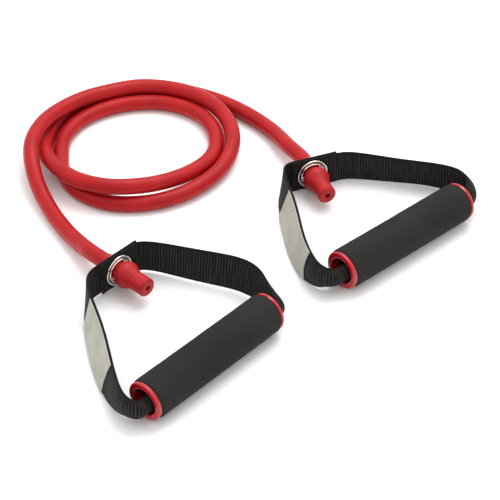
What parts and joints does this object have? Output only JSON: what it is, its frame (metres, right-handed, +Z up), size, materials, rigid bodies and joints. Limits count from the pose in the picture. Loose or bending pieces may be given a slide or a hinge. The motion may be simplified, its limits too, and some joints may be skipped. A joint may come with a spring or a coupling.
{
  "type": "resistance band",
  "caption": "Elastic exercise tube, loosely coiled, with a swivelling D-shaped webbing handle and a foam grip on each end.",
  "frame": {"origin": "middle of the box round both handles, on the surface they lie on", "axes": "+X from the left grip to the right grip, +Y from the handles towards the tube's coil, +Z up"},
  "size_m": [0.3698, 0.3435, 0.032],
  "materials": {
    "tube": "semi-gloss red latex",
    "stopper": "satin red moulded rubber",
    "plug": "matte",
    "webbing": "ribbed black webbing",
    "label": "blank grey-beige woven label",
    "stitching": "black thread",
    "eyelet": "bright nickel plate",
    "grip_core": "matte",
    "foam": "matte closed-cell foam",
    "end_ring": "gloss red plastic"
  },
  "bodies": {
    "tube": {"elastic_tube": "tube", "left_stopper": "stopper", "left_tube_plug": "plug", "right_stopper": "stopper", "right_tube_plug": "plug"},
    "left_handle": {"left_strap": "webbing", "left_label": "label", "left_stitching": "stitching", "left_eyelet": "eyelet", "left_eyelet_washer": "eyelet"},
    "left_grip": {"left_grip_core": "grip_core", "left_foam_sleeve": "foam", "left_outer_end_ring": "end_ring", "left_inner_end_ring": "end_ring"},
    "right_handle": {"right_strap": "webbing", "right_label": "label", "right_stitching": "stitching", "right_eyelet": "eyelet", "right_eyelet_washer": "eyelet"},
    "right_grip": {"right_grip_core": "grip_core", "right_foam_sleeve": "foam", "right_outer_end_ring": "end_ring", "right_inner_end_ring": "end_ring"}
  },
  "joints": [
    {"name": "left_swivel", "type": "hinge", "parent": "tube", "child": "left_handle", "pos_m": [-0.08668, 0.06649, 0.016], "axis": [0.0523, -0.9986, 0], "range_deg": [-90, 90]},
    {"name": "left_grip_spin", "type": "hinge", "parent": "left_handle", "child": "left_grip", "pos_m": [-0.1025, -0.052, 0.016], "axis": [0.9986, 0.0523, 0], "continuous": true},
    {"name": "right_swivel", "type": "hinge", "parent": "tube", "child": "right_handle", "pos_m": [0.1071, 0.0487, 0.0143], "axis": [-0.3907, -0.9205, 0], "range_deg": [-90, 90]},
    {"name": "right_grip_spin", "type": "hinge", "parent": "right_handle", "child": "right_grip", "pos_m": [0.0985, -0.058, 0.016], "axis": [0.9986, -0.0523, 0], "continuous": true}
  ]
}
